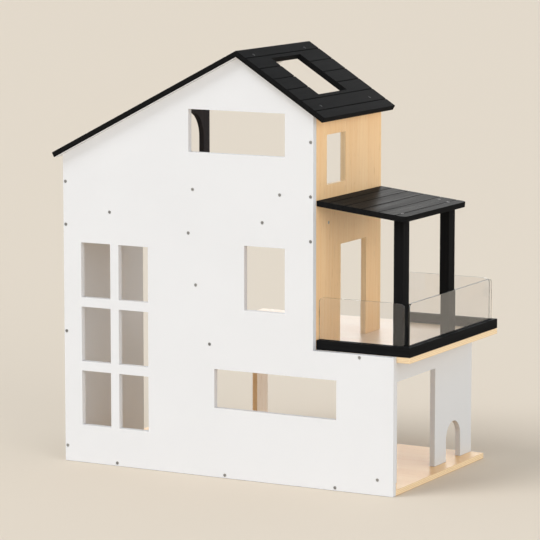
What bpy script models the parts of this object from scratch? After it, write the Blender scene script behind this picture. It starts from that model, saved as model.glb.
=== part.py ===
"""Three-storey wooden dollhouse: white front panel, black roof and canopy,
natural plywood floors, and a balcony with clear acrylic guards.

Metres, +Z up.  The front panel faces -Y, the open play side faces +Y.
Sizes below are in millimetres and measured from the lower left front corner
of the front panel; HOME moves everything so that the origin is the bottom
centre of the whole house.
"""
import math

import bmesh
import bpy
from mathutils import Matrix, Vector

MM = 0.001

# ---- driving sizes (mm) -------------------------------------------------
HOUSE_W = 600.0          # width of the front panel and of the base
HOUSE_D = 340.0          # depth of the base and of the floor above it
ROOM_D = 238.0           # depth of the left wall, upper wall, attic and roof
TOWER_W = 459.0          # width of the tall left part of the house
FRONT_T = 10.0           # front panel thickness
BOARD_T = 9.0            # every other board
GAP = 0.3                # air left between two boards that touch

GROUND_H = 220.0         # ground to the walking face of the middle floor
MIDDLE_H = 201.5         # middle floor to the attic floor
EAVE_H = 86.0            # attic floor to the top of the left wall
APEX_H = 255.5           # attic floor to the gable's point
APEX_IN = 132.0          # gable's point, inward from the tower's right side
SLOPE_RIGHT = 32.3       # degrees
ROOF_FRONT = 11.0        # roof overhang in front of the panel
ROOF_LEFT = 10.7         # roof overhang at the left eave
ROOF_RIGHT = 20.7        # roof overhang at the right eave

BALCONY_OUT = 22.7       # balcony beyond the right edge of the front panel
PARTITION_X = 186.0      # left face of the ground-floor partition
SIDE_WALL_IN = 22.7      # side wall outer face, inward from the base edge
ARCH_WALL_X = 131.0      # left face of the attic partition

PITCH = 29.0             # distance between two plank grooves
FIRST_PLANK = 21.0
LAST_PLANK = 6.0         # narrowest plank allowed at an eave
GROOVE_W = 1.8
GROOVE_DEEP = 1.6

CANOPY_UP = 34.7         # canopy top at the wall, above the attic floor
CANOPY_SLOPE = 6.2       # degrees, falling outward
CANOPY_R = 8.0           # rounded outer corners
CANOPY_PAST = 11.0       # canopy beyond the posts
POST_W, POST_D = 16.0, 22.0
POST_OFF_RAIL = 5.7      # posts to the side rail
POST_FRONT = 1.5         # front post to the front rail
POST_BACK = 21.7         # back post to the canopy's back edge

RAIL_W = 15.0
RAIL_H = 15.5
GLASS_T = 3.0
GLASS_H = 67.5           # glass standing above the rail
GLASS_IN = 6.0           # glass hidden in the rail groove
GLASS_R = 8.0            # rounded top corners
GLASS_END = 4.5          # corner gap left between two panes
GLASS_START = 2.0        # panes to the wall
FIT = 0.3                # clearance round glass and screws

HEAD_R = 2.5
HEAD_T = 1.6
HEAD_INSET = 0.2         # screw heads lie this far below the surface
SHANK_R = 1.3
SHANK_LONG = 24.0
SHANK_ROOF = 11.5
SHANK_SHORT = 5.0

# Openings.  A width runs along the board, a sill is above the floor named.
TALL_W, TALL_H = 126.0, 302.0        # window of six panes
TALL_X, TALL_SILL, BAR = 33.0, 62.5, 15.5
ATTIC_WIN_W, ATTIC_WIN_H = 173.7, 68.5
ATTIC_WIN_DROP = 86.0                # its top, below the gable's point
MID_WIN_W, MID_WIN_H, MID_SILL = 72.7, 103.4, 55.0
WIN_IN = 50.3                        # both, inward from the tower's side
LOW_WIN_W, LOW_WIN_H = 219.1, 63.0
LOW_WIN_DROP, LOW_WIN_IN = 44.0, 99.7
SIDE_WIN_Y, SIDE_WIN_W, SIDE_WIN_H = 46.0, 64.5, 79.0
SIDE_WIN_DROP = 37.3                 # its top, below the top of the wall
BALCONY_DOOR_Y, BALCONY_DOOR_W, BALCONY_DOOR_H = 95.0, 90.0, 158.0
SIDE_DOOR_Y, SIDE_DOOR_W, SIDE_DOOR_H = 60.0, 139.7, 161.8
PET_R, PET_SPRING = 27.5, 36.5       # round-headed pet doorway
ROOM_DOOR_W, ROOM_DOOR_H, ROOM_DOOR_BACK = 162.0, 161.8, 38.0
ARCH_R, ARCH_BACK, ARCH_OVER = 45.0, 20.5, 7.0
SKY_DOWN, SKY_LONG = 29.5, 100.0     # skylight, down the slope
SKY_Y, SKY_W = 60.0, 98.0

# ---- sizes that follow --------------------------------------------------
FLOOR_TOP = GROUND_H
ATTIC_TOP = FLOOR_TOP + MIDDLE_H
EAVE_LEFT = ATTIC_TOP + EAVE_H
APEX_X = TOWER_W - APEX_IN
APEX_Z = ATTIC_TOP + APEX_H
CANOPY_Z = ATTIC_TOP + CANOPY_UP
SLOPE_LEFT = math.degrees(math.atan2(APEX_Z - EAVE_LEFT, APEX_X))
TAN_L = math.tan(math.radians(SLOPE_LEFT))
TAN_R = math.tan(math.radians(SLOPE_RIGHT))
TAN_C = math.tan(math.radians(CANOPY_SLOPE))
RISE_L = BOARD_T / math.cos(math.radians(SLOPE_LEFT))
RISE_R = BOARD_T / math.cos(math.radians(SLOPE_RIGHT))
RIDGE_X = APEX_X + (RISE_R - RISE_L) / (TAN_L + TAN_R)
RIDGE_Z = APEX_Z + RISE_L + TAN_L * (RIDGE_X - APEX_X)
WALL_TOP = APEX_Z - TAN_R * APEX_IN
BACK_Y0 = FRONT_T + GAP
BALCONY_X = HOUSE_W + BALCONY_OUT
SIDE_WALL_X = HOUSE_W - SIDE_WALL_IN
POST_X = BALCONY_X - RAIL_W - POST_OFF_RAIL - POST_W
POST_FRONT_Y = BACK_Y0 + RAIL_W + POST_FRONT
POST_BACK_Y = ROOM_D - POST_BACK - POST_D
CANOPY_END = POST_X + POST_W + CANOPY_PAST

# openings as (start, end, bottom, top)
TALL_WINDOW = (TALL_X, TALL_X + TALL_W, TALL_SILL, TALL_SILL + TALL_H)
TOP_WINDOW = (TOWER_W - WIN_IN - ATTIC_WIN_W, TOWER_W - WIN_IN,
              APEX_Z - ATTIC_WIN_DROP - ATTIC_WIN_H, APEX_Z - ATTIC_WIN_DROP)
MID_WINDOW = (TOWER_W - WIN_IN - MID_WIN_W, TOWER_W - WIN_IN,
              FLOOR_TOP + MID_SILL, FLOOR_TOP + MID_SILL + MID_WIN_H)
LOW_WINDOW = (HOUSE_W - LOW_WIN_IN - LOW_WIN_W, HOUSE_W - LOW_WIN_IN,
              FLOOR_TOP - LOW_WIN_DROP - LOW_WIN_H, FLOOR_TOP - LOW_WIN_DROP)
WALL_WINDOW = (SIDE_WIN_Y, SIDE_WIN_Y + SIDE_WIN_W,
               WALL_TOP - SIDE_WIN_DROP - SIDE_WIN_H, WALL_TOP - SIDE_WIN_DROP)
BALCONY_DOOR = (BALCONY_DOOR_Y, BALCONY_DOOR_Y + BALCONY_DOOR_W,
                FLOOR_TOP + BALCONY_DOOR_H)
SIDE_DOOR = (SIDE_DOOR_Y, SIDE_DOOR_Y + SIDE_DOOR_W, BOARD_T + SIDE_DOOR_H)
# The pet doorway lies midway between the side door and the back edge.
PET_DOOR = ((SIDE_DOOR[1] + HOUSE_D) / 2, PET_R, BOARD_T + PET_SPRING)
ROOM_DOOR = (HOUSE_D - ROOM_DOOR_BACK - ROOM_DOOR_W, HOUSE_D - ROOM_DOOR_BACK,
             BOARD_T + ROOM_DOOR_H)
ATTIC_ARCH = (ROOM_D - ARCH_BACK - ARCH_R, ARCH_R, ARCH_OVER)
SKYLIGHT = (SKY_DOWN, SKY_DOWN + SKY_LONG, SKY_Y, SKY_Y + SKY_W)

LEFT_MOST = -ROOF_LEFT - BOARD_T * math.sin(math.radians(SLOPE_LEFT))
HOME = Vector((-(LEFT_MOST + BALCONY_X) / 2, -(HOUSE_D - ROOF_FRONT) / 2, 0))


def under_left(x):
    """Height of the left roof board's lower face at x."""
    return EAVE_LEFT + TAN_L * x


def under_right(x):
    """Height of the right roof board's lower face at x."""
    return APEX_Z - TAN_R * (x - APEX_X)


def canopy_top(x):
    return CANOPY_Z - TAN_C * (x - TOWER_W)


# ---- materials ----------------------------------------------------------
def paint(name, colour, rough, metal=0.0, clear=0.0):
    mat = bpy.data.materials.new(name)
    mat.use_nodes = True
    bsdf = mat.node_tree.nodes["Principled BSDF"]
    bsdf.inputs["Base Color"].default_value = (*colour, 1.0)
    bsdf.inputs["Roughness"].default_value = rough
    bsdf.inputs["Metallic"].default_value = metal
    bsdf.inputs["Transmission Weight"].default_value = clear
    mat.diffuse_color = (*colour, 0.35 if clear else 1.0)
    return mat


for old in list(bpy.data.objects):
    bpy.data.objects.remove(old, do_unlink=True)

WHITE = paint("white_paint", (0.84, 0.84, 0.83), 0.55)
BLACK = paint("black_paint", (0.018, 0.018, 0.020), 0.42)
PLY = paint("natural_ply", (0.72, 0.52, 0.33), 0.60)
ACRYLIC = paint("clear_acrylic", (0.95, 0.96, 0.96), 0.06, clear=1.0)
STEEL = paint("screw_steel", (0.55, 0.55, 0.56), 0.35, metal=1.0)


# ---- solids -------------------------------------------------------------
def prism(points, axis, start, end):
    """Closed solid: an outline drawn across one axis and pushed along it.

    axis "x": points are (y, z); "y": points are (x, z); "z": points (x, y).
    """
    def place(pair, along):
        a, b = pair
        xyz = {"x": (along, a, b), "y": (a, along, b), "z": (a, b, along)}[axis]
        return Vector(xyz) * MM

    bm = bmesh.new()
    near = [bm.verts.new(place(p, start)) for p in points]
    far = [bm.verts.new(place(p, end)) for p in points]
    bm.faces.new(near)
    bm.faces.new(list(reversed(far)))
    count = len(points)
    for i in range(count):
        j = (i + 1) % count
        bm.faces.new((near[j], near[i], far[i], far[j]))
    bmesh.ops.recalc_face_normals(bm, faces=bm.faces)
    return bm


def block(x0, x1, y0, y1, z0, z1):
    return prism([(x0, z0), (x1, z0), (x1, z1), (x0, z1)], "y", y0, y1)


def arched(middle, radius, bottom, spring, steps=24):
    """Doorway outline with a half-round head, as (across, z) pairs."""
    head = [(middle + radius * math.cos(math.pi * i / steps),
             spring + radius * math.sin(math.pi * i / steps))
            for i in range(steps + 1)]
    return [(middle - radius, bottom), (middle + radius, bottom)] + head


def rounded(a0, a1, b0, b1, radius, steps=8):
    """Rectangle with its two upper corners rounded."""
    out = [(a0, b0), (a1, b0)]
    for centre, turn in ((a1 - radius, 0.0), (a0 + radius, 90.0)):
        for i in range(steps + 1):
            ang = math.radians(turn + 90.0 * i / steps)
            out.append((centre + radius * math.cos(ang),
                        b1 - radius + radius * math.sin(ang)))
    return out


def turned(profile, segments=24):
    """Solid of revolution about Z from (radius, height) pairs."""
    bm = bmesh.new()
    rings = []
    for radius, height in profile:
        rings.append([bm.verts.new((radius * MM * math.cos(2 * math.pi * i / segments),
                                    radius * MM * math.sin(2 * math.pi * i / segments),
                                    height * MM)) for i in range(segments)])
    for low, high in zip(rings, rings[1:]):
        for i in range(segments):
            j = (i + 1) % segments
            bm.faces.new((low[i], low[j], high[j], high[i]))
    bm.faces.new(list(reversed(rings[0])))
    bm.faces.new(rings[-1])
    bmesh.ops.recalc_face_normals(bm, faces=bm.faces)
    return bm


def to_object(name, bm, material, hidden=False):
    mesh = bpy.data.meshes.new(name)
    bm.to_mesh(mesh)
    bm.free()
    obj = bpy.data.objects.new(name, mesh)
    bpy.context.scene.collection.objects.link(obj)
    if hidden:
        obj.hide_render = True
        obj.display_type = "WIRE"
    else:
        mesh.materials.append(material)
        obj.location = HOME * MM
    return obj


def cut(obj, solids, label):
    """Cut a group of separate solids out of a board with one Boolean."""
    joined = bmesh.new()
    for solid in solids:
        scrap = bpy.data.meshes.new("scrap")
        solid.to_mesh(scrap)
        solid.free()
        joined.from_mesh(scrap)
        bpy.data.meshes.remove(scrap)
    cutter = to_object("cut_" + obj.name + "_" + label, joined, None, hidden=True)
    cutter.location = HOME * MM
    mod = obj.modifiers.new(label, "BOOLEAN")
    mod.operation = "DIFFERENCE"
    mod.solver = "EXACT"
    mod.object = cutter


# ---- screws -------------------------------------------------------------
# Each screw lies along its own axis: head face at "at", shank along "way".
SCREW_HOLES = {}


def aim(at, way):
    """Matrix that stands a turned solid at a point, its -Z along way."""
    turn = Vector((0, 0, -1)).rotation_difference(Vector(way)).to_matrix().to_4x4()
    return Matrix.Translation(Vector(at) * MM) @ turn


def screw(name, at, way, boards, reach=SHANK_LONG):
    """One countersunk-flat screw plus the stepped hole it needs."""
    body = turned([(SHANK_R, -HEAD_T - reach), (SHANK_R, -HEAD_T),
                   (HEAD_R, -HEAD_T), (HEAD_R, 0.0)])
    start = Vector(at) + Vector(way).normalized() * HEAD_INSET
    body.transform(aim(start, way))
    to_object(name, body, STEEL)
    for board in boards:
        hole = turned([(SHANK_R + FIT, -HEAD_T - reach - FIT),
                       (SHANK_R + FIT, -HEAD_T - FIT),
                       (HEAD_R + FIT, -HEAD_T - FIT), (HEAD_R + FIT, 4.0)])
        hole.transform(aim(start, way))
        SCREW_HOLES.setdefault(board, []).append(hole)


INTO = (0, 1, 0)
EDGE = BOARD_T / 2 - 0.3             # wall screws sit a hair off the middle
ATTIC_MID = ATTIC_TOP - BOARD_T / 2
FLOOR_MID = FLOOR_TOP - BOARD_T / 2
LOW_ROW, HIGH_ROW = ATTIC_TOP - 29.2, ATTIC_TOP + 41.2

for i, z in enumerate((25.4, FLOOR_TOP - 3.8, LOW_ROW, HIGH_ROW), 1):
    screw("screw_left_wall_%d" % i, (EDGE, 0, z), INTO,
          ("facade_panel", "left_wall"))
for i, z in enumerate((LOW_ROW, HIGH_ROW, WALL_TOP - 45.3), 1):
    screw("screw_upper_wall_%d" % i, (TOWER_W - BOARD_T + EDGE, 0, z), INTO,
          ("facade_panel", "upper_side_wall"))
for i, x in enumerate((BOARD_T + 78.7, TOWER_W - 90.6), 1):
    screw("screw_attic_floor_%d" % i, (x, 0, ATTIC_MID), INTO,
          ("facade_panel", "attic_floor"))
for i, x in enumerate((PARTITION_X + 86.5, BALCONY_X - 82.2), 1):
    screw("screw_middle_floor_%d" % i, (x, 0, FLOOR_MID), INTO,
          ("facade_panel", "middle_floor"))
for i, x in enumerate((99.0, HOUSE_W / 2, HOUSE_W - 101.6), 1):
    screw("screw_base_%d" % i, (x, 0, BOARD_T / 2), INTO,
          ("facade_panel", "base_board"))
screw("screw_side_wall", (SIDE_WALL_X - BOARD_T / 2, 0, 24.4), INTO,
      ("facade_panel", "lower_side_wall"))
for i, (back, z) in enumerate(((216.7, HIGH_ROW), (59.5, HIGH_ROW),
                               (224.8, LOW_ROW), (211.6, FLOOR_TOP + 89.3)), 1):
    screw("screw_front_short_%d" % i, (TOWER_W - back, 0, z), INTO,
          ("facade_panel",), SHANK_SHORT)
screw("screw_attic_end", (TOWER_W, 53.1, ATTIC_MID), (-1, 0, 0),
      ("upper_side_wall", "attic_floor"))

# Roof screws go in square to the slope: two near the ridge, two over the wall.
slope = math.radians(SLOPE_RIGHT)
DOWN_R = Vector((math.cos(slope), 0, -math.sin(slope)))
IN_R = Vector((-math.sin(slope), 0, -math.cos(slope)))
RIDGE = Vector((RIDGE_X, 0, RIDGE_Z))
over_wall = (TOWER_W - BOARD_T / 2 + BOARD_T * math.sin(slope) - RIDGE_X) / math.cos(slope)
for i, (down, y, reach, boards) in enumerate((
        (15.0, 25.0, SHANK_SHORT, ("roof_right",)),
        (15.0, ROOM_D - 40.5, SHANK_SHORT, ("roof_right",)),
        (over_wall, 25.0, SHANK_ROOF, ("roof_right", "upper_side_wall")),
        (over_wall, ROOM_D - 42.5, SHANK_ROOF, ("roof_right", "upper_side_wall"))), 1):
    screw("screw_roof_%d" % i, RIDGE + DOWN_R * down + Vector((0, y, 0)), IN_R,
          boards, reach)

# Canopy screws: one into each post, one more beside the back post.
tilt = math.radians(CANOPY_SLOPE)
IN_C = Vector((-math.sin(tilt), 0, -math.cos(tilt)))
post_mid = POST_X + POST_W / 2 + BOARD_T * math.sin(tilt)
for i, (x, y, reach, boards) in enumerate((
        (post_mid, POST_FRONT_Y + POST_D / 2, SHANK_LONG, ("canopy", "post_front")),
        (post_mid, POST_BACK_Y + POST_D / 2, SHANK_LONG, ("canopy", "post_back")),
        (POST_X - 10.5, POST_BACK_Y + 18.5, SHANK_SHORT, ("canopy",))), 1):
    screw("screw_canopy_%d" % i, (x, y, canopy_top(x)), IN_C, boards, reach)


# ---- boards -------------------------------------------------------------
def finish(obj):
    """Drill the screw holes that this board needs, all in one cut."""
    holes = SCREW_HOLES.pop(obj.name, [])
    if holes:
        cut(obj, holes, "screw_holes")


# Front panel: one white board, gable on the left, level with the balcony on the right.
outline = [(0, 0), (HOUSE_W, 0), (HOUSE_W, FLOOR_TOP), (TOWER_W, FLOOR_TOP),
           (TOWER_W, under_right(TOWER_W) - GAP), (APEX_X, APEX_Z - GAP),
           (0, EAVE_LEFT - GAP)]
facade = to_object("facade_panel", prism(outline, "y", 0, FRONT_T), WHITE)
panes = []
x0, x1, z0, z1 = TALL_WINDOW
pane_w = (x1 - x0 - BAR) / 2
pane_h = (z1 - z0 - 2 * BAR) / 3
for col in range(2):
    for row in range(3):
        px = x0 + col * (pane_w + BAR)
        pz = z0 + row * (pane_h + BAR)
        panes.append(block(px, px + pane_w, -5, FRONT_T + 5, pz, pz + pane_h))
for x0, x1, z0, z1 in (TOP_WINDOW, MID_WINDOW, LOW_WINDOW):
    panes.append(block(x0, x1, -5, FRONT_T + 5, z0, z1))
cut(facade, panes, "windows")
finish(facade)

# Base: the ground floor, behind the front panel.
base = to_object("base_board", block(0, HOUSE_W, BACK_Y0, HOUSE_D, 0, BOARD_T), PLY)
finish(base)

# Left wall: stands on the base, its top edge cut to the roof slope.
left = to_object("left_wall", prism(
    [(0, BOARD_T + GAP), (BOARD_T, BOARD_T + GAP),
     (BOARD_T, under_left(BOARD_T) - GAP), (0, under_left(0) - GAP)],
    "y", BACK_Y0, ROOM_D), WHITE)
finish(left)

# Ground-floor partition and the wall under the balcony carry the middle floor.
under_floor = FLOOR_TOP - BOARD_T - GAP
partition = to_object("ground_partition", block(
    PARTITION_X, PARTITION_X + BOARD_T, BACK_Y0, HOUSE_D,
    BOARD_T + GAP, under_floor), PLY)
y0, y1, top = ROOM_DOOR
cut(partition, [block(PARTITION_X - 5, PARTITION_X + BOARD_T + 5, y0, y1, 0, top)], "door")

side = to_object("lower_side_wall", block(
    SIDE_WALL_X - BOARD_T, SIDE_WALL_X, BACK_Y0, HOUSE_D,
    BOARD_T + GAP, under_floor), WHITE)
y0, y1, top = SIDE_DOOR
middle, radius, spring = PET_DOOR
cut(side, [block(SIDE_WALL_X - BOARD_T - 5, SIDE_WALL_X + 5, y0, y1, 0, top),
           prism(arched(middle, radius, 0, spring), "x",
                 SIDE_WALL_X - BOARD_T - 5, SIDE_WALL_X + 5)], "doors")
finish(side)

# Middle floor: one board that runs out to the right as the balcony floor.
middle_floor = to_object("middle_floor", block(
    PARTITION_X, BALCONY_X, BACK_Y0, HOUSE_D, FLOOR_TOP - BOARD_T, FLOOR_TOP), PLY)
finish(middle_floor)

# Upper side wall: window above, doorway to the balcony below.
upper = to_object("upper_side_wall", prism(
    [(TOWER_W - BOARD_T, FLOOR_TOP + GAP), (TOWER_W, FLOOR_TOP + GAP),
     (TOWER_W, under_right(TOWER_W) - GAP),
     (TOWER_W - BOARD_T, under_right(TOWER_W - BOARD_T) - GAP)],
    "y", BACK_Y0, ROOM_D), PLY)
y0, y1, z0, z1 = WALL_WINDOW
d0, d1, dtop = BALCONY_DOOR
cut(upper, [block(TOWER_W - BOARD_T - 5, TOWER_W + 5, y0, y1, z0, z1),
            block(TOWER_W - BOARD_T - 5, TOWER_W + 5, d0, d1, FLOOR_TOP - 5, dtop)],
    "openings")
finish(upper)

# Attic floor between the two side walls.
attic = to_object("attic_floor", block(
    BOARD_T + GAP, TOWER_W - BOARD_T - GAP, BACK_Y0, ROOM_D,
    ATTIC_TOP - BOARD_T, ATTIC_TOP), PLY)
finish(attic)

# Attic partition: black, with a round-headed doorway.
arch_wall = to_object("attic_partition", prism(
    [(ARCH_WALL_X, ATTIC_TOP + GAP), (ARCH_WALL_X + BOARD_T, ATTIC_TOP + GAP),
     (ARCH_WALL_X + BOARD_T, under_left(ARCH_WALL_X + BOARD_T) - GAP),
     (ARCH_WALL_X, under_left(ARCH_WALL_X) - GAP)], "y", BACK_Y0, ROOM_D), BLACK)
middle, radius, left_over = ATTIC_ARCH
spring = under_left(ARCH_WALL_X) - GAP - left_over - radius
cut(arch_wall, [prism(arched(middle, radius, ATTIC_TOP - 5, spring), "x",
                      ARCH_WALL_X - 5, ARCH_WALL_X + BOARD_T + 5)], "arch")


# ---- roof ---------------------------------------------------------------
def board_end(x, low, ang, side):
    """Lower and upper corner of a board end cut square to its slope."""
    return (x, low), (x + side * BOARD_T * math.sin(ang), low + BOARD_T * math.cos(ang))


def plank_grooves(top, down, up, length, y0, y1):
    """Grooves across a sloping face, as bars sunk a little into it."""
    bars = []
    s = FIRST_PLANK
    while s < length - LAST_PLANK:
        corners = [top + down * (s + a) + up * b for a, b in
                   ((-GROOVE_W / 2, 5), (GROOVE_W / 2, 5),
                    (GROOVE_W / 2, -GROOVE_DEEP), (-GROOVE_W / 2, -GROOVE_DEEP))]
        bars.append(prism([(c.x, c.z) for c in corners], "y", y0, y1))
        s += PITCH
    return bars


# Left slope: one long board, mitred at the ridge, planked on top.
fall = math.radians(SLOPE_LEFT)
low, high = board_end(-ROOF_LEFT, under_left(-ROOF_LEFT), fall, -1)
roof_left = to_object("roof_left", prism(
    [low, (APEX_X - GAP / 2, APEX_Z - TAN_L * GAP / 2),
     (RIDGE_X - GAP / 2, RIDGE_Z - TAN_L * GAP / 2), high],
    "y", -ROOF_FRONT, ROOM_D), BLACK)
cut(roof_left, plank_grooves(
    RIDGE, Vector((-math.cos(fall), 0, -math.sin(fall))),
    Vector((-math.sin(fall), 0, math.cos(fall))),
    (RIDGE - Vector((high[0], 0, high[1]))).length,
    -ROOF_FRONT - 5, ROOM_D + 5), "grooves")

# Right slope: shorter and steeper, with the skylight.
eave_x = TOWER_W + ROOF_RIGHT
low, high = board_end(eave_x, under_right(eave_x), slope, 1)
roof_right = to_object("roof_right", prism(
    [(APEX_X + GAP / 2, APEX_Z - TAN_R * GAP / 2), low, high,
     (RIDGE_X + GAP / 2, RIDGE_Z - TAN_R * GAP / 2)],
    "y", -ROOF_FRONT, ROOM_D), BLACK)
cut(roof_right, plank_grooves(
    RIDGE, DOWN_R, -IN_R, (Vector((high[0], 0, high[1])) - RIDGE).length,
    -ROOF_FRONT - 5, ROOM_D + 5), "grooves")
s0, s1, y0, y1 = SKYLIGHT
hole = [RIDGE + DOWN_R * s + IN_R * d
        for s, d in ((s0, -5), (s1, -5), (s1, BOARD_T + 5), (s0, BOARD_T + 5))]
cut(roof_right, [prism([(c.x, c.z) for c in hole], "y", y0, y1)], "skylight")
finish(roof_right)


# ---- canopy, posts ------------------------------------------------------
# Canopy: butts against the wall, falls outward, two outer corners rounded.
canopy_x = TOWER_W + GAP
drop = BOARD_T / math.cos(tilt)
end_x = CANOPY_END
body = prism(
    [(canopy_x, canopy_top(canopy_x) - drop),
     (end_x - BOARD_T * math.sin(tilt), canopy_top(end_x) - BOARD_T * math.cos(tilt)),
     (end_x, canopy_top(end_x)), (canopy_x, canopy_top(canopy_x))],
    "y", BACK_Y0, ROOM_D)
corners = [e for e in body.edges
           if min(v.co.x for v in e.verts) > (end_x - 3) * MM
           and abs(e.verts[0].co.y - e.verts[1].co.y) < 1e-6]
bmesh.ops.bevel(body, geom=corners, offset=CANOPY_R * MM, segments=6, profile=0.5,
                affect="EDGES")
canopy = to_object("canopy", body, BLACK)
cut(canopy, plank_grooves(
    Vector((TOWER_W, 0, CANOPY_Z)),
    Vector((math.cos(tilt), 0, -math.sin(tilt))), -IN_C,
    (CANOPY_END - TOWER_W) / math.cos(tilt), BACK_Y0 - 5, ROOM_D + 5), "grooves")
finish(canopy)

# Posts: stand on the balcony floor, tops cut to the canopy's slope.
for name, y in (("post_front", POST_FRONT_Y), ("post_back", POST_BACK_Y)):
    tops = [canopy_top(x) - drop - GAP for x in (POST_X, POST_X + POST_W)]
    post = to_object(name, prism(
        [(POST_X, FLOOR_TOP + GAP), (POST_X + POST_W, FLOOR_TOP + GAP),
         (POST_X + POST_W, tops[1]), (POST_X, tops[0])], "y", y, y + POST_D), BLACK)
    finish(post)


# ---- balcony guard ------------------------------------------------------
# Three rails mitred at two corners; each has a groove that holds one pane.
rail_x = TOWER_W + GAP
mid = RAIL_W / 2
z0, z1 = FLOOR_TOP + GAP, FLOOR_TOP + RAIL_H
slot_z = z1 - GLASS_IN - FIT
half = GLASS_T / 2
cutback = GAP / 2 * math.sqrt(2.0)
front_y, back_y = BACK_Y0 + mid, HOUSE_D - mid
pane_z0, pane_z1 = z1 - GLASS_IN, z1 + GLASS_H
pane_x0 = TOWER_W + GLASS_START
pane_x1 = BALCONY_X - mid - half - GLASS_END
side_y0 = front_y + half + GLASS_START
side_y1 = back_y - half - 2 * FIT - GAP

rails = {
    "rail_front": [(rail_x, BACK_Y0), (BALCONY_X - cutback, BACK_Y0),
                   (BALCONY_X - RAIL_W - cutback, BACK_Y0 + RAIL_W),
                   (rail_x, BACK_Y0 + RAIL_W)],
    "rail_right": [(BALCONY_X, BACK_Y0 + cutback), (BALCONY_X, HOUSE_D - cutback),
                   (BALCONY_X - RAIL_W, HOUSE_D - RAIL_W - cutback),
                   (BALCONY_X - RAIL_W, BACK_Y0 + RAIL_W + cutback)],
    "rail_back": [(rail_x, HOUSE_D - RAIL_W), (BALCONY_X - RAIL_W - cutback, HOUSE_D - RAIL_W),
                  (BALCONY_X - cutback, HOUSE_D), (rail_x, HOUSE_D)],
}
slots = {
    "rail_front": (pane_x0 - FIT, pane_x1 + FIT, front_y - half - FIT, front_y + half + FIT),
    "rail_right": (BALCONY_X - mid - half - FIT, BALCONY_X - mid + half + FIT,
                   side_y0 - FIT, side_y1 + FIT),
    "rail_back": (pane_x0 - FIT, pane_x1 + FIT, back_y - half - FIT, back_y + half + FIT),
}
for name, outline in rails.items():
    rail = to_object(name, prism(outline, "z", z0, z1), BLACK)
    x0, x1, y0, y1 = slots[name]
    cut(rail, [block(x0, x1, y0, y1, slot_z, z1 + 5)], "groove")

pane = rounded(pane_x0, pane_x1, pane_z0, pane_z1, GLASS_R)
to_object("glass_front", prism(pane, "y", front_y - half, front_y + half), ACRYLIC)
to_object("glass_back", prism(pane, "y", back_y - half, back_y + half), ACRYLIC)
pane = rounded(side_y0, side_y1, pane_z0, pane_z1, GLASS_R)
to_object("glass_right", prism(pane, "x", BALCONY_X - mid - half,
                               BALCONY_X - mid + half), ACRYLIC)
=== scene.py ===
"""Looks of the wooden dollhouse: white boards, bare plywood, black planks and clear guards."""
import math

import bmesh
import bpy
from mathutils import Matrix, Vector


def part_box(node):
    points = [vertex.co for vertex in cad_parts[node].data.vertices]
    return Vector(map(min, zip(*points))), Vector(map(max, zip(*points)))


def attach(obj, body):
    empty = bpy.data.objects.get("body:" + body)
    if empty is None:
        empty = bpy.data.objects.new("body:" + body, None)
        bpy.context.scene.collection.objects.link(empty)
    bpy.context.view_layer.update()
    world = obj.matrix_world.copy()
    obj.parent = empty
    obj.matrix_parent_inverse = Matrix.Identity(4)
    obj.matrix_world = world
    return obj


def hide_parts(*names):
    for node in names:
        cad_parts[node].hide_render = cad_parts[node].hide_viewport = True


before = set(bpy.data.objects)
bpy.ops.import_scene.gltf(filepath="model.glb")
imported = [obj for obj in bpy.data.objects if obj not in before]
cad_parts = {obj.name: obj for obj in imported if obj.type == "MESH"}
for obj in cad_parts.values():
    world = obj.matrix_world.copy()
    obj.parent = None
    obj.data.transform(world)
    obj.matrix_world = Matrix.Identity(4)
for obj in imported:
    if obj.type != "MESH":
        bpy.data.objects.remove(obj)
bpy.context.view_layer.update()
MM = 0.001


# ---- Room: pale seamless floor, soft key from the front left, soft fill from the right ----
# The floor runs past every view, so a plain paper sweep is all that is ever behind the house.
# The sky is dimmer than white, and brightest behind the house on the right.
scene = bpy.context.scene
scene.view_settings.view_transform = "Standard"


def tone(red, green, blue):
    """Linear colour of a paint chip given as 0-255 display values."""
    return tuple((v / 255 / 12.92) if v <= 10 else ((v / 255 + 0.055) / 1.055) ** 2.4
                 for v in (red, green, blue))


def linked(name, data):
    """Object that shows this mesh, light or camera, put in the scene."""
    made = bpy.data.objects.new(name, data)
    scene.collection.objects.link(made)
    return made


def lamp(name, energy, spread, azimuth, elevation, colour):
    """Far-off soft light that comes from an azimuth round the house and a height in degrees."""
    data = bpy.data.lights.new(name, "SUN")
    data.energy, data.angle, data.color = energy, math.radians(spread), colour
    light = linked(name, data)
    light.rotation_euler = (math.radians(90 - elevation), 0, math.radians(azimuth))


class Wire:
    """A node's output that Python sums can use; wire["Name"] is another output of that node."""

    def __init__(self, tree, socket):
        self.tree, self.socket = tree, socket

    def __getitem__(self, name):
        return Wire(self.tree, self.socket.node.outputs[name])

    def maths(self, operation, *values):
        return node(self.tree, "ShaderNodeMath", {"operation": operation},
                    dict(enumerate(values)))

    def __add__(self, other):
        return self.maths("ADD", self, other)

    def __sub__(self, other):
        return self.maths("SUBTRACT", self, other)

    def __rsub__(self, other):
        return self.maths("SUBTRACT", other, self)

    def __mul__(self, other):
        return self.maths("MULTIPLY", self, other)

    def __neg__(self):
        return self.maths("MULTIPLY", self, -1.0)

    def __abs__(self):
        return self.maths("ABSOLUTE", self)

    __radd__, __rmul__ = __add__, __mul__


def node(tree, kind, settings=None, sockets=None):
    """Adds a node: its settings first, then a value or a wire for each named input."""
    made = tree.nodes.new(kind)
    for key, value in (settings or {}).items():
        setattr(made, key, value)
    for key, value in (sockets or {}).items():
        if isinstance(value, Wire):
            tree.links.new(value.socket, made.inputs[key])
        else:
            made.inputs[key].default_value = value
    shown = [s for s in made.outputs if s.enabled]
    return Wire(tree, shown[0]) if shown else None


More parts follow.
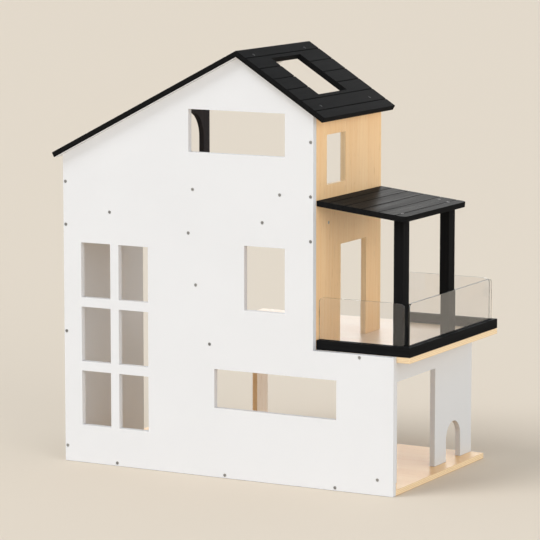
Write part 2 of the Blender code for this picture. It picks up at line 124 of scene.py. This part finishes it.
def set_values(shader, values):
    """Constant values of a shader's inputs, where an underscore stands for a space."""
    for name, value in values.items():
        shader.inputs[name.replace("_", " ")].default_value = value


def sheet(name, corners, **finish):
    """Flat sheet of the room, with four corners and one even finish."""
    mesh = bpy.data.meshes.new(name)
    mesh.from_pydata(corners, [], [(0, 1, 2, 3)])
    material = bpy.data.materials.new(name + "_finish")
    material.use_nodes = True
    set_values(material.node_tree.nodes["Principled BSDF"], finish)
    mesh.materials.append(material)
    return linked(name, mesh)


lamp("key", energy=1.34, spread=28, azimuth=-38, elevation=54, colour=(0.96, 0.975, 1.0))
lamp("fill", energy=1.50, spread=50, azimuth=62, elevation=6, colour=(1.0, 0.985, 0.985))

BRIGHT_SIDE, SKY_TINT = (0.66, 0.70, 0.28), (0.93, 0.97, 1.0, 1)
SKY_DIM, SKY_BRIGHT = 0.66, 0.90
world = bpy.data.worlds.new("studio")
world.use_nodes = True
sky = world.node_tree
toward_bright = node(sky, "ShaderNodeVectorMath", {"operation": "DOT_PRODUCT"}, {
    0: node(sky, "ShaderNodeTexCoord")["Generated"], 1: BRIGHT_SIDE})["Value"]
strength = node(sky, "ShaderNodeMapRange", {"interpolation_type": "SMOOTHSTEP"}, {
    "Value": toward_bright, "From Min": 0.1, "From Max": 1.0, "To Min": SKY_DIM,
    "To Max": SKY_BRIGHT})
sky.links.new(strength.socket, sky.nodes["Background"].inputs["Strength"])
sky.nodes["Background"].inputs["Color"].default_value = SKY_TINT
scene.world = world

PAPER_REACH, PAPER_TOP = 60.0, -0.5 * MM
floor = sheet("paper_sweep", [(x * PAPER_REACH, y * PAPER_REACH, PAPER_TOP)
                              for x, y in ((-1, -1), (1, -1), (1, 1), (-1, 1))],
              Base_Color=(*tone(219, 207, 191), 1), Roughness=1.0, Specular_IOR_Level=0.0)

LENS, FILM_WIDTH, FAR = 206.4, 36.0, 200.0
CAMERA_PLACE, CAMERA_TILT, CAMERA_TURN = (2.3677, -4.4142, 1.0431), 81.746, 28.31
camera = linked("camera", bpy.data.cameras.new("camera"))
camera.data.lens, camera.data.sensor_width, camera.data.clip_end = LENS, FILM_WIDTH, FAR
camera.location = CAMERA_PLACE
camera.rotation_euler = (math.radians(CAMERA_TILT), 0, math.radians(CAMERA_TURN))
scene.camera = camera

# A bright card behind the house is seen only in reflections, as the sheen on the canopy.
CARD_Y, CARD_LOW, CARD_HIGH, CARD_LEFT, CARD_RIGHT = 3.2, 1.0, 1.75, -3.4, 0.2
card = sheet("sheen_card", [(CARD_LEFT, CARD_Y, CARD_LOW), (CARD_RIGHT, CARD_Y, CARD_LOW),
                            (CARD_RIGHT, CARD_Y, CARD_HIGH), (CARD_LEFT, CARD_Y, CARD_HIGH)],
             Base_Color=(0, 0, 0, 1), Emission_Color=(1, 0.98, 0.95, 1), Emission_Strength=5.6)
card.visible_camera = card.visible_diffuse = card.visible_shadow = False
card.visible_transmission = False


# ---- Base board: bare birch plywood, 9 mm, under a matt varnish ----
# One panel of seven plies, its corners just eased with sandpaper. The house stands on it and
# its top is the ground floor. The other bare boards are the same kind of sheet, less matt.
def blend(factor, low, high):
    """Colour that goes from low to high as factor goes from 0 to 1."""
    low, high = (c if isinstance(c, Wire) else (*c, 1.0) for c in (low, high))
    return node(factor.tree, "ShaderNodeMix", {"data_type": "RGBA"},
                {0: factor, 6: low, 7: high})


def step(value, start, end):
    """0 below start, 1 above end, smooth between."""
    return node(value.tree, "ShaderNodeMapRange", {"interpolation_type": "SMOOTHSTEP"},
                {"Value": value, "From Min": start, "From Max": end})


def noise(x, y, z, detail=2.0, rough=0.5):
    """Noise over three wires that are already scaled."""
    spot = node(x.tree, "ShaderNodeCombineXYZ", {}, {0: x, 1: y, 2: z})
    return node(x.tree, "ShaderNodeTexNoise", {},
                {"Vector": spot, "Scale": 1.0, "Detail": detail, "Roughness": rough})


def blank(name):
    """New material, its places along X, Y and Z, and how squarely a face looks along each."""
    material = bpy.data.materials.new(name)
    material.use_nodes = True
    tree = material.node_tree
    coords = node(tree, "ShaderNodeTexCoord")
    place = node(tree, "ShaderNodeSeparateXYZ", {}, {0: coords["Object"]})
    facing = node(tree, "ShaderNodeSeparateXYZ", {}, {0: coords["Normal"]})
    return (material, {a: place[a] for a in "XYZ"}, {a: abs(facing[a]) for a in "XYZ"})


def dress(material, colour, rough, height, depth, **constants):
    """Sends a finish to the material's shader: colour, roughness and a bump that deep."""
    tree = material.node_tree
    shader = tree.nodes["Principled BSDF"]
    bump = node(tree, "ShaderNodeBump", {}, {"Strength": 1.0, "Distance": depth,
                                             "Height": height})
    for name, wire in (("Base Color", colour), ("Roughness", rough), ("Normal", bump)):
        tree.links.new(wire.socket, shader.inputs[name])
    set_values(shader, constants)
    return material


BOARD_THICK, PLIES = 9.0 * MM, 7
PLY = BOARD_THICK / PLIES
VENEER_LIGHT, VENEER_DARK, FLECK = tone(251, 216, 168), tone(240, 192, 134), tone(176, 128, 84)
CORE_LIGHT, CORE_DARK, GLUE = tone(252, 228, 188), tone(228, 192, 146), tone(150, 108, 74)
SILK, MATT = 0.4, 0.16
SANDED = 0.5 * MM


def birch(name, grain, across, through, start, veneer=(VENEER_LIGHT, VENEER_DARK), sheen=SILK):
    """Birch plywood: fibres run along one axis, plies are stacked through another from start."""
    material, at, facing = blank(name)
    along, side, deep = at[grain], at[across], at[through]
    wander = noise(along * 2.2, side * 9, deep * 9)
    strip = noise(along * 0.4, side * 21, deep * 2, 1.0)
    growth = node(material.node_tree, "ShaderNodeMath", {"operation": "SINE"},
                  {0: (side + wander * 0.035) * 640})
    fibre = noise(along * 34, side * 1250, deep * 1250, 4.0, 0.65)
    streak = noise(along * 7, side * 230, deep * 230, 3.0)
    fleck = step(noise(along * 55, side * 520, deep * 520, 1.0), 0.66, 0.74)
    shade = step(strip, 0.3, 0.7) * 0.35 + growth * 0.07 + (streak - 0.5) * 0.85 \
        + (fibre - 0.5) * 0.35 + 0.22
    face = blend(shade, *veneer)
    face = blend(fleck * 0.22, face, FLECK)
    layer = node(material.node_tree, "ShaderNodeMath", {"operation": "SINE"},
                 {0: (deep - start) * (math.pi / PLY)})
    crossed = step(layer, -0.12, 0.12)
    pith = noise(along * 300, side * 300, deep * 900, 3.0)
    core = blend(crossed * 0.75 + (pith - 0.5) * 0.7, CORE_LIGHT, CORE_DARK)
    glue = 1 - step(abs(layer), 0.04, 0.16)
    core = blend(glue * 0.4, core, GLUE)
    edge = 1 - step(facing[through], 0.55, 0.85)
    colour = blend(edge, face, core)
    rough = 0.33 + (fibre - 0.5) * 0.16 + edge * 0.25 + fleck * 0.06
    height = fibre * 0.6 + streak * 0.3 - fleck * 0.5 - edge * glue * 0.8
    return dress(material, colour, rough, height, 0.08 * MM, Specular_IOR_Level=sheen)


SMOOTH_BELOW = math.radians(50)


def shape(name, bm):
    """Object with the mesh that bm holds."""
    mesh = bpy.data.meshes.new(name)
    bm.to_mesh(mesh)
    bm.free()
    return linked(name, mesh)


def stand_in(name, bm, slot, material, *nodes):
    """Piece made from bm that is shown in place of CAD nodes, with soft corner shading."""
    piece = shape(name, bm)
    piece.data.materials.clear()
    piece.data.materials.append(material)
    piece.data.shade_smooth()
    piece.data.set_sharp_from_angle(angle=SMOOTH_BELOW)
    piece.modifiers.new("even_corners", "WEIGHTED_NORMAL").keep_sharp = True
    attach(piece, "root")
    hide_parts(*nodes)
    return piece


WELD, FLAT, CORNER = 1e-6, math.radians(0.5), math.radians(28)


def ease(bm, width):
    """Rounds over every outer corner, and leaves the inner ones as sawn."""
    corners = [e for e in bm.edges
               if e.is_manifold and e.is_convex and e.calc_face_angle() > CORNER]
    bmesh.ops.bevel(bm, geom=corners, offset=width, segments=3, profile=0.5,
                    affect="EDGES", clamp_overlap=True)


def board(node_name, width, slot, material):
    """A board as the CAD cut it, openings and screw holes included, with eased corners."""
    bm = bmesh.new()
    bm.from_mesh(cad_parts[node_name].data)
    bmesh.ops.remove_doubles(bm, verts=bm.verts, dist=WELD)
    bmesh.ops.dissolve_limit(bm, angle_limit=FLAT, verts=bm.verts, edges=bm.edges)
    ease(bm, width)
    return stand_in(node_name + "_finished", bm, slot, material, node_name)


board("base_board", SANDED, "natural_ply", birch(
    "birch_base", "X", "Y", "Z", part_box("base_board")[0].z, sheen=MATT))


# ---- Left wall and low side wall: white lacquered boards ----
# MDF with two rolled coats. The left wall's white is a shade greyer than the front's, as painted
# shade on its indoor face; the low wall's is a shade greyer too. The roller leaves a fine stipple
# on the faces, and the sawn edges drink more paint, so they dry a little greyer and rougher.
WHITE, WHITE_EDGE = (0.850, 0.855, 0.870), (0.66, 0.665, 0.675)
# The left wall's darker white is painted shade for its indoor face, which lies in shadow.
WHITE_LOW, WHITE_LEFT_SHADED = (0.68, 0.685, 0.69), (0.66, 0.665, 0.67)
ROUNDED = 0.7 * MM


def lacquer(name, through, white=WHITE):
    """White paint on a board whose thickness runs along one axis."""
    material, at, facing = blank(name)
    x, y, z = at["X"], at["Y"], at["Z"]
    cloud = noise(x * 7, y * 7, z * 7, 3.0)
    stipple = noise(x * 900, y * 900, z * 900, 2.0)
    lap = noise(x * 160, y * 160, z * 160, 2.0)
    edge = 1 - step(facing[through], 0.6, 0.92)
    face = blend(step(cloud, 0.3, 0.7), tuple(0.985 * c for c in white), white)
    colour = blend(edge * (0.9 + (lap - 0.5) * 0.2), face, WHITE_EDGE)
    rough = 0.46 + (lap - 0.5) * 0.14 + (cloud - 0.5) * 0.1 + edge * 0.16
    height = stipple * 0.5 + lap * 0.6 + edge * noise(x * 420, y * 420, z * 420, 3.0) * 0.8
    return dress(material, colour, rough, height, 0.10 * MM, Specular_IOR_Level=0.35)


board("left_wall", ROUNDED, "white_paint", lacquer("left_wall_shaded_lacquer", "X", WHITE_LEFT_SHADED))
board("lower_side_wall", ROUNDED, "white_paint", lacquer("low_side_lacquer", "X", WHITE_LOW))


# ---- Inner boards: partition, middle floor, upper side wall and attic floor ----
# All bare birch plywood. The upper wall keeps the plain, warmest veneer; the floors' is paled a
# little as painted sheen, and the partition's is paled most as painted light that reaches it
# indoors.
# Uprights have the grain standing, and floors have it from side to side.
# Paled veneers: painted sheen on the two floors, painted light on the partition.
PALED_FOR_SHEEN = (tone(252, 232, 208), tone(240, 210, 178))
PALED_FOR_LIGHT = (tone(253, 243, 230), tone(246, 228, 208))
board("ground_partition", SANDED, "natural_ply", birch(
    "birch_partition", "Z", "Y", "X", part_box("ground_partition")[0].x, PALED_FOR_LIGHT))
board("upper_side_wall", SANDED, "natural_ply", birch(
    "birch_upper_wall", "Z", "Y", "X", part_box("upper_side_wall")[0].x))
for name in ("middle_floor", "attic_floor"):
    board(name, SANDED, "natural_ply", birch(
        "birch_" + name, "X", "Y", "Z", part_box(name)[0].z, PALED_FOR_SHEEN))


# ---- Attic partition: a black board with a round-headed doorway ----
# Plywood under satin black paint, thin enough for the grain to show as faint ridges. Its black
# is painted a little lighter than the roof's, as painted light on it indoors.
BLACK, BLACK_WORN = (0.0095, 0.0095, 0.0097), (0.0190, 0.0190, 0.0193)
# A lighter copy of the black: painted light for the attic partition.
LIT_BLACK, LIT_BLACK_WORN = (0.040, 0.037, 0.040), (0.062, 0.058, 0.061)
SATIN_IOR = 1.03


def satin_black(name, grain, across, third, shades=(BLACK, BLACK_WORN)):
    """Thin black paint over wood: fibres run along one axis."""
    material, at, _ = blank(name)
    along, side, deep = at[grain], at[across], at[third]
    fibre = noise(along * 26, side * 1100, deep * 1100, 4.0, 0.6)
    streak = noise(along * 5, side * 190, deep * 190, 3.0)
    dust = step(noise(along * 700, side * 700, deep * 700, 1.0), 0.70, 0.78)
    shade = step(streak, 0.35, 0.8) * 0.5 + step(fibre, 0.5, 0.8) * 0.3 + dust * 0.25
    colour = blend(shade, *shades)
    rough = 0.34 + (streak - 0.5) * 0.24 + (fibre - 0.5) * 0.2 + dust * 0.1
    height = fibre * 0.8 + streak * 0.6
    return dress(material, colour, rough, height, 0.16 * MM, IOR=SATIN_IOR)


board("attic_partition", ROUNDED, "black_paint", satin_black(
    "black_attic", "Z", "Y", "X", (LIT_BLACK, LIT_BLACK_WORN)))


# ---- Front panel: the white face of the house ----
# One 10 mm board with the front windows cut out, lacquered like the walls and screwed to them.
board("facade_panel", ROUNDED, "white_paint", lacquer("white_front_lacquer", "Y"))


# ---- Roof: two planked boards mitred at the ridge ----
# Each is one solid board, white underneath. Grooves are routed from front to back every 29 mm so
# that it looks planked, their lips are broken, and the right board has a skylight and screws.
PITCH, FIRST, LAST = 29.0 * MM, 21.0 * MM, 6.0 * MM
GROOVE_W, GROOVE_DEEP, LIP = 1.8 * MM, 1.6 * MM, 1.5 * MM
SKYLIGHT_DOWN, SKYLIGHT_LONG, SKYLIGHT_CUT = 29.5 * MM, 100.0 * MM, 60.0 * MM
SKYLIGHT_IN, SKYLIGHT_WIDE = 60.0 * MM, 98.0 * MM
HEAD_R, HEAD_T, SEAT = 2.5 * MM, 1.6 * MM, 0.3 * MM
OVERRUN, PLANK_EASE, SEAT_SIDES = 1.2, 1.0 * MM, 32
FRONT_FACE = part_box("facade_panel")[0].y


def section(node_name):
    """Corners of a board's cross-section, seen from the front, as (x, z) going round."""
    straight = 2e-8
    points = sorted({(round(v.co.x, 6), round(v.co.z, 6))
                     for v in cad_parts[node_name].data.vertices})

    def turn(a, b, c):
        return (b[0] - a[0]) * (c[1] - a[1]) - (b[1] - a[1]) * (c[0] - a[0])

    def half(run):
        chain = []
        for p in run:
            while len(chain) > 1 and turn(chain[-2], chain[-1], p) <= straight:
                chain.pop()
            chain.append(p)
        return chain[:-1]

    return half(points) + half(reversed(points))


def planked_tree():
    """Geometry Nodes: routes grooves and drills screw seats in a board on a slope."""
    tree = bpy.data.node_groups.new("planked_board", "GeometryNodeTree")
    face = tree.interface
    face.new_socket("Board", in_out="INPUT", socket_type="NodeSocketGeometry")
    for name, kind in (("Start", "NodeSocketVector"), ("Step", "NodeSocketVector"),
                       ("Count", "NodeSocketInt"), ("Slope", "NodeSocketFloat"),
                       ("Groove Width", "NodeSocketFloat"), ("Groove Depth", "NodeSocketFloat"),
                       ("Lip", "NodeSocketFloat"), ("Length", "NodeSocketFloat"),
                       ("Seat Radius", "NodeSocketFloat"), ("Seat Depth", "NodeSocketFloat"),
                       ("Screws", "NodeSocketObject"), ("Paint", "NodeSocketMaterial")):
        face.new_socket(name, in_out="INPUT", socket_type=kind)
    face.new_socket("Board", in_out="OUTPUT", socket_type="NodeSocketGeometry")
    given = node(tree, "NodeGroupInput")
    lean = node(tree, "ShaderNodeCombineXYZ", {}, {1: given["Slope"]})
    lip_lean = node(tree, "ShaderNodeCombineXYZ", {}, {1: given["Slope"] + math.pi / 4})
    bar = node(tree, "GeometryNodeMeshCube", {}, {0: node(
        tree, "ShaderNodeCombineXYZ", {},
        {0: given["Groove Width"], 1: given["Length"], 2: given["Groove Depth"] * 2})})
    longer = 1.01  # so that the two tools never end on one plane
    lip = node(tree, "GeometryNodeMeshCube", {}, {0: node(
        tree, "ShaderNodeCombineXYZ", {},
        {0: given["Lip"], 1: given["Length"] * longer, 2: given["Lip"]})})
    lip = node(tree, "GeometryNodeTransform", {}, {
        "Geometry": lip, "Rotation": lip_lean})
    bar = node(tree, "GeometryNodeTransform", {}, {"Geometry": bar, "Rotation": lean})
    rows = node(tree, "GeometryNodeMeshLine", {"mode": "OFFSET"}, {
        "Count": given["Count"], "Start Location": given["Start"], "Offset": given["Step"]})
    cutters = []
    for tool in (bar, lip):
        cutters.append(node(tree, "GeometryNodeInstanceOnPoints", {}, {
            "Points": rows, "Instance": tool}))
    heads = node(tree, "GeometryNodeObjectInfo", {}, {"Object": given["Screws"]})["Geometry"]
    seat = node(tree, "GeometryNodeMeshCylinder", {}, {
        "Vertices": SEAT_SIDES, "Radius": given["Seat Radius"], "Depth": given["Seat Depth"] * 2})
    seat = node(tree, "GeometryNodeTransform", {}, {"Geometry": seat, "Rotation": lean})
    cutters.append(node(tree, "GeometryNodeInstanceOnPoints", {}, {
        "Points": heads, "Instance": seat}))
    result = given["Board"]
    for cutter in cutters:
        solid = node(tree, "GeometryNodeRealizeInstances", {}, {"Geometry": cutter})
        result = node(tree, "GeometryNodeMeshBoolean",
                      {"operation": "DIFFERENCE", "solver": "EXACT"},
                      {"Mesh 1": result, "Mesh 2": solid})
    result = node(tree, "GeometryNodeRealizeInstances", {}, {"Geometry": result})
    result = node(tree, "GeometryNodeSetMaterial", {}, {
        "Geometry": result, "Material": given["Paint"]})
    node(tree, "NodeGroupOutput", {}, {"Board": result})
    return tree


def grown(carrier, tree, inputs):
    """Runs a Geometry Nodes tree on an object and gives the result as a plain mesh."""
    modifier = carrier.modifiers.new("made", "NODES")
    modifier.node_group = tree
    for item in tree.interface.items_tree:
        if item.in_out == "INPUT" and item.name in inputs:
            modifier[item.identifier] = inputs[item.name]
    carrier.update_tag()
    scene_state = bpy.context.evaluated_depsgraph_get()
    mesh = bpy.data.meshes.new_from_object(carrier.evaluated_get(scene_state))
    bpy.data.objects.remove(carrier, do_unlink=True)
    return mesh


def head_spots(nodes, out):
    """Centres of screw heads, from the CAD screws whose heads face along out."""
    spots = []
    for name in nodes:
        points = [v.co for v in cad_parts[name].data.vertices]
        high = max(p.dot(out) for p in points)
        rim = [p for p in points if p.dot(out) > high - 0.01 * MM]
        spots.append(Vector([(min(p[i] for p in rim) + max(p[i] for p in rim)) / 2
                             for i in range(3)]))
    return spots


def dots(name, spots):
    """Bare points for a Geometry Nodes tree to work from."""
    mesh = bpy.data.meshes.new(name)
    mesh.from_pydata([tuple(s) for s in spots], [], [])
    return linked(name, mesh)


def skylight(roof_board, top, down, out):
    """Cuts the skylight square through a roof board, and gives back the cutter."""
    hole = bmesh.new()
    bmesh.ops.create_cube(hole, size=1.0)
    middle = top + down * (SKYLIGHT_DOWN + SKYLIGHT_LONG / 2)
    middle.y = FRONT_FACE + SKYLIGHT_IN + SKYLIGHT_WIDE / 2
    basis = Matrix((down, Vector((0, 1, 0)), out)).transposed().to_4x4()
    size = Matrix.Diagonal((SKYLIGHT_LONG, SKYLIGHT_WIDE, SKYLIGHT_CUT, 1))
    bmesh.ops.transform(hole, matrix=Matrix.Translation(middle) @ basis @ size, verts=hole.verts)
    cutter = shape("sky_cut", hole)
    opening = roof_board.modifiers.new("skylight", "BOOLEAN")
    opening.object, opening.solver = cutter, "EXACT"
    return cutter


PLANKED = planked_tree()


def planked(node_name, top, down, out, screws, paint, under=None, lit=False, round_off=0.0):
    """Planked board: its section pushed from front to back, eased, then grooved."""
    low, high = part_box(node_name)
    corners = section(node_name)
    bm = bmesh.new()
    rings = [[bm.verts.new((x, y, z)) for x, z in corners] for y in (low.y, high.y)]
    for ring in rings:
        bm.faces.new(ring)
    for i in range(len(corners)):
        j = (i + 1) % len(corners)
        bm.faces.new((rings[0][i], rings[0][j], rings[1][j], rings[1][i]))
    bmesh.ops.recalc_face_normals(bm, faces=bm.faces)
    if round_off:
        outer = [e for e in bm.edges if min(v.co.x for v in e.verts) > high.x - 3 * MM
                 and abs(e.verts[0].co.y - e.verts[1].co.y) < WELD]
        bmesh.ops.bevel(bm, geom=outer, offset=round_off, segments=8, profile=0.5,
                        affect="EDGES")
    ease(bm, PLANK_EASE)
    carrier = shape("blank_board", bm)
    cutter = skylight(carrier, top, down, out) if lit else None
    length = max((Vector((x, 0, z)) - top).dot(down) for x, z in corners)
    count = math.ceil((length - LAST - FIRST) / PITCH)
    mid = Vector((0, (low.y + high.y) / 2, 0))
    seats = dots("seats", head_spots(screws, out))
    mesh = grown(carrier, PLANKED, {
        "Start": top + down * FIRST + mid, "Step": down * PITCH,
        "Count": count, "Slope": math.atan2(out.x, out.z), "Groove Width": GROOVE_W,
        "Groove Depth": GROOVE_DEEP, "Lip": LIP, "Length": (high.y - low.y) * OVERRUN,
        "Seat Radius": HEAD_R + SEAT, "Seat Depth": HEAD_T + SEAT, "Screws": seats,
        "Paint": paint})
    bpy.data.objects.remove(seats, do_unlink=True)
    if cutter:
        bpy.data.objects.remove(cutter, do_unlink=True)
    done = bmesh.new()
    done.from_mesh(mesh)
    bmesh.ops.remove_doubles(done, verts=done.verts, dist=WELD)
    piece = stand_in(node_name + "_planked", done, "black_paint", paint, node_name)
    if under:
        looks_down = -0.9
        piece.data.materials.append(under)
        for face in piece.data.polygons:
            face.material_index = int(face.normal.dot(out) < looks_down)


left_corners, right_corners = section("roof_left"), section("roof_right")
ridge = Vector(((max(left_corners, key=lambda c: c[1])[0]
                 + max(right_corners, key=lambda c: c[1])[0]) / 2, 0,
                max(c[1] for c in right_corners)))


def slope_of(corners, side):
    """Direction down a board's upper face, away from its peak on one side, and its normal."""
    peak = max(corners, key=lambda c: c[1])
    foot = max(corners, key=lambda c: c[0] * side + c[1] * MM)
    down = Vector((foot[0] - peak[0], 0, foot[1] - peak[1])).normalized()
    out = Vector((-down.z * side, 0, down.x * side))
    return down, out


black_planks = satin_black("black_planks", "Y", "X", "Z")
down_left, out_left = slope_of(left_corners, -1)
down_right, out_right = slope_of(right_corners, 1)
ROOF_SCREWS = ["screw_roof_%d" % i for i in (1, 2, 3, 4)]
ceiling = lacquer("white_ceiling_lacquer", "Z")
planked("roof_left", ridge, down_left, out_left, [], black_planks, ceiling)
planked("roof_right", ridge, down_right, out_right, ROOF_SCREWS, black_planks, ceiling, lit=True)


# ---- Canopy and posts: the balcony's little roof ----
# A planked board like the roof, with rounded outer corners, butted to the wall and falling
# outward on two posts whose corners are rounded over.
CANOPY_ROUND, POST_ROUND = 8.0 * MM, 1.1 * MM
canopy_corners = section("canopy")
wall_corner = max(canopy_corners, key=lambda c: c[1])
down_canopy, out_canopy = slope_of(canopy_corners, 1)
CANOPY_SCREWS = ["screw_canopy_%d" % i for i in (1, 2, 3)]
planked("canopy", Vector((wall_corner[0], 0, wall_corner[1])), down_canopy, out_canopy,
        CANOPY_SCREWS, black_planks, round_off=CANOPY_ROUND)
black_upright = satin_black("black_upright", "Z", "Y", "X")
for name in ("post_front", "post_back"):
    board(name, POST_ROUND, "black_paint", black_upright)


# ---- Balcony guard rails: three black bars mitred at the corners ----
# Wood under satin black paint, lying along the edge of the balcony floor. Each bar is routed
# along its top to hold a clear pane.
black_crosswise = satin_black("black_crosswise", "X", "Y", "Z")
for name in ("rail_front", "rail_back"):
    board(name, ROUNDED, "black_paint", black_crosswise)
board("rail_right", ROUNDED, "black_paint", black_planks)


# ---- Clear guards: 3 mm acrylic panes with rounded upper corners ----
# Polished on the faces, sawn and flame-polished on the edges, held in the rails' grooves.
POLISHED = 0.35 * MM
CLEAR, CLEAR_SMEARED, LIT_THROUGH = (0.925, 0.92, 0.92), (0.95, 0.945, 0.945), (0.94, 0.95, 0.95)


def acrylic():
    """Clear acrylic that lets lamps through, with faint smears and a slight ripple."""
    material, at, _ = blank("clear_acrylic_sheet")
    tree = material.node_tree
    smear = noise(at["X"] * 11, at["Y"] * 11, at["Z"] * 30, 3.0)
    rough = 0.015 + step(smear, 0.5, 0.9) * 0.05
    ripple = noise(at["X"] * 6, at["Y"] * 6, at["Z"] * 6)
    dress(material, blend(smear, CLEAR, CLEAR_SMEARED), rough, ripple, 0.05 * MM,
          Transmission_Weight=1.0, IOR=1.49, Specular_IOR_Level=0.30)
    shader = tree.nodes["Principled BSDF"]
    lamps = node(tree, "ShaderNodeLightPath")["Is Shadow Ray"]
    through = node(tree, "ShaderNodeBsdfTransparent", {}, {0: (*LIT_THROUGH, 1)})
    mixed = node(tree, "ShaderNodeMixShader", {}, {
        0: lamps, 1: Wire(tree, shader.outputs[0]), 2: through})
    tree.links.new(mixed.socket, tree.nodes["Material Output"].inputs["Surface"])
    return material


clear = acrylic()
for name in ("glass_front", "glass_right", "glass_back"):
    board(name, POLISHED, "clear_acrylic", clear)


# ---- Screws: countersunk steel screws with cross recesses ----
# Zinc-plated ones hold the front and the attic floor, black ones the roof and the canopy. Each
# head is turned by chance, as left by the driver, and sits a touch below the paint.
SHANK_R, RECESS_W, RECESS_LONG, RECESS_DEEP = 1.3 * MM, 0.6 * MM, 2.6 * MM, 1.0 * MM
SCREW_SIDES = 40


def screw_tree():
    """Geometry Nodes: a screw with a cross recess on every point, aimed by its "out" value."""
    tree = bpy.data.node_groups.new("screws", "GeometryNodeTree")
    face = tree.interface
    face.new_socket("Points", in_out="INPUT", socket_type="NodeSocketGeometry")
    for name, kind in (("Head Radius", "NodeSocketFloat"), ("Head Thickness", "NodeSocketFloat"),
                       ("Shank Radius", "NodeSocketFloat"),
                       ("Recess Width", "NodeSocketFloat"), ("Recess Length", "NodeSocketFloat"),
                       ("Recess Depth", "NodeSocketFloat"), ("Seed", "NodeSocketInt"),
                       ("Plating", "NodeSocketMaterial")):
        face.new_socket(name, in_out="INPUT", socket_type=kind)
    face.new_socket("Screws", in_out="OUTPUT", socket_type="NodeSocketGeometry")
    given = node(tree, "NodeGroupInput")

    def lifted(mesh, height):
        move = node(tree, "ShaderNodeCombineXYZ", {}, {2: height})
        return node(tree, "GeometryNodeTransform", {}, {"Geometry": mesh, "Translation": move})

    body = node(tree, "GeometryNodeMeshBoolean", {"operation": "UNION", "solver": "EXACT"})
    # The tip is a share of the shank's radius, and the other two of the head's thickness.
    tip, shank_long, shank_foot = 0.5, 2.0, -2.9
    cones = ((given["Head Radius"], given["Shank Radius"], given["Head Thickness"],
              -given["Head Thickness"]),
             (given["Shank Radius"], given["Shank Radius"] * tip,
              given["Head Thickness"] * shank_long, given["Head Thickness"] * shank_foot))
    for top, bottom, depth, height in cones:
        cone = node(tree, "GeometryNodeMeshCone", {}, {
            "Vertices": SCREW_SIDES, "Radius Top": top, "Radius Bottom": bottom, "Depth": depth})
        tree.links.new(lifted(cone, height).socket, body.socket.node.inputs["Mesh 2"])
    for turn in (0.0, math.pi / 2):
        slot = node(tree, "GeometryNodeMeshCube", {}, {0: node(
            tree, "ShaderNodeCombineXYZ", {}, {0: given["Recess Length"],
                                               1: given["Recess Width"],
                                               2: given["Recess Depth"] * 2})})
        slot = node(tree, "GeometryNodeTransform", {}, {
            "Geometry": slot, "Rotation": (0, 0, turn)})
        body = node(tree, "GeometryNodeMeshBoolean",
                    {"operation": "DIFFERENCE", "solver": "EXACT"},
                    {"Mesh 1": body, "Mesh 2": slot})
    out = node(tree, "GeometryNodeInputNamedAttribute", {"data_type": "FLOAT_VECTOR"},
               {"Name": "out"})
    aimed = node(tree, "FunctionNodeAlignRotationToVector", {"axis": "Z"}, {"Vector": out})
    chance = node(tree, "FunctionNodeRandomValue", {"data_type": "FLOAT"}, {
        "Max": math.pi, "Seed": given["Seed"]})
    spin = node(tree, "ShaderNodeCombineXYZ", {}, {2: chance})
    turned = node(tree, "FunctionNodeRotateRotation", {"rotation_space": "LOCAL"}, {
        "Rotation": aimed, "Rotate By": spin})
    placed = node(tree, "GeometryNodeInstanceOnPoints", {}, {
        "Points": given["Points"], "Instance": body, "Rotation": turned})
    solid = node(tree, "GeometryNodeRealizeInstances", {}, {"Geometry": placed})
    plated = node(tree, "GeometryNodeSetMaterial", {}, {
        "Geometry": solid, "Material": given["Plating"]})
    node(tree, "NodeGroupOutput", {}, {"Screws": plated})
    return tree


def screw_metal(name, low, high, base_rough):
    """Plated steel between two shades: fine turning marks and a little tarnish."""
    material, at, _ = blank(name)
    speck = noise(at["X"] * 1800, at["Y"] * 1800, at["Z"] * 1800, 2.0)
    dull = noise(at["X"] * 90, at["Y"] * 90, at["Z"] * 90, 2.0)
    rough = base_rough + (speck - 0.5) * 0.3
    return dress(material, blend(step(dull, 0.3, 0.7), low, high), rough, speck, 0.03 * MM,
                 Metallic=1.0)


def screw_set(name, starts, plating, seed):
    """One mesh of screws for every CAD screw whose name begins with one of starts."""
    names = sorted(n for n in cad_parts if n.startswith(tuple(starts)))
    ways = [next(way for start, way in starts.items() if n.startswith(start)) for n in names]
    spots = [head_spots([n], way)[0] for n, way in zip(names, ways)]
    points = dots("screw_points", spots)
    attribute = points.data.attributes.new("out", "FLOAT_VECTOR", "POINT")
    for item, way in zip(attribute.data, ways):
        item.vector = way
    mesh = grown(points, SCREW, {
        "Head Radius": HEAD_R, "Head Thickness": HEAD_T, "Shank Radius": SHANK_R,
        "Recess Width": RECESS_W, "Recess Length": RECESS_LONG, "Recess Depth": RECESS_DEEP,
        "Seed": seed, "Plating": plating})
    screws = linked(name, mesh)
    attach(screws, "root")
    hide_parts(*names)


SCREW = screw_tree()
ZINC = screw_metal("zinc_plating", (0.34, 0.345, 0.35), (0.50, 0.505, 0.51), base_rough=0.32)
OXIDE = screw_metal("black_oxide", (0.020, 0.020, 0.021), (0.045, 0.044, 0.043), base_rough=0.38)
forward, rightward = Vector((0, -1, 0)), Vector((1, 0, 0))
screw_set("bright_screws", {
    "screw_base": forward, "screw_front_short": forward, "screw_left_wall": forward,
    "screw_middle_floor": forward, "screw_attic_floor": forward, "screw_side_wall": forward,
    "screw_upper_wall": forward, "screw_attic_end": rightward}, ZINC, seed=7)
screw_set("black_screws", {"screw_roof": out_right, "screw_canopy": out_canopy}, OXIDE, seed=11)
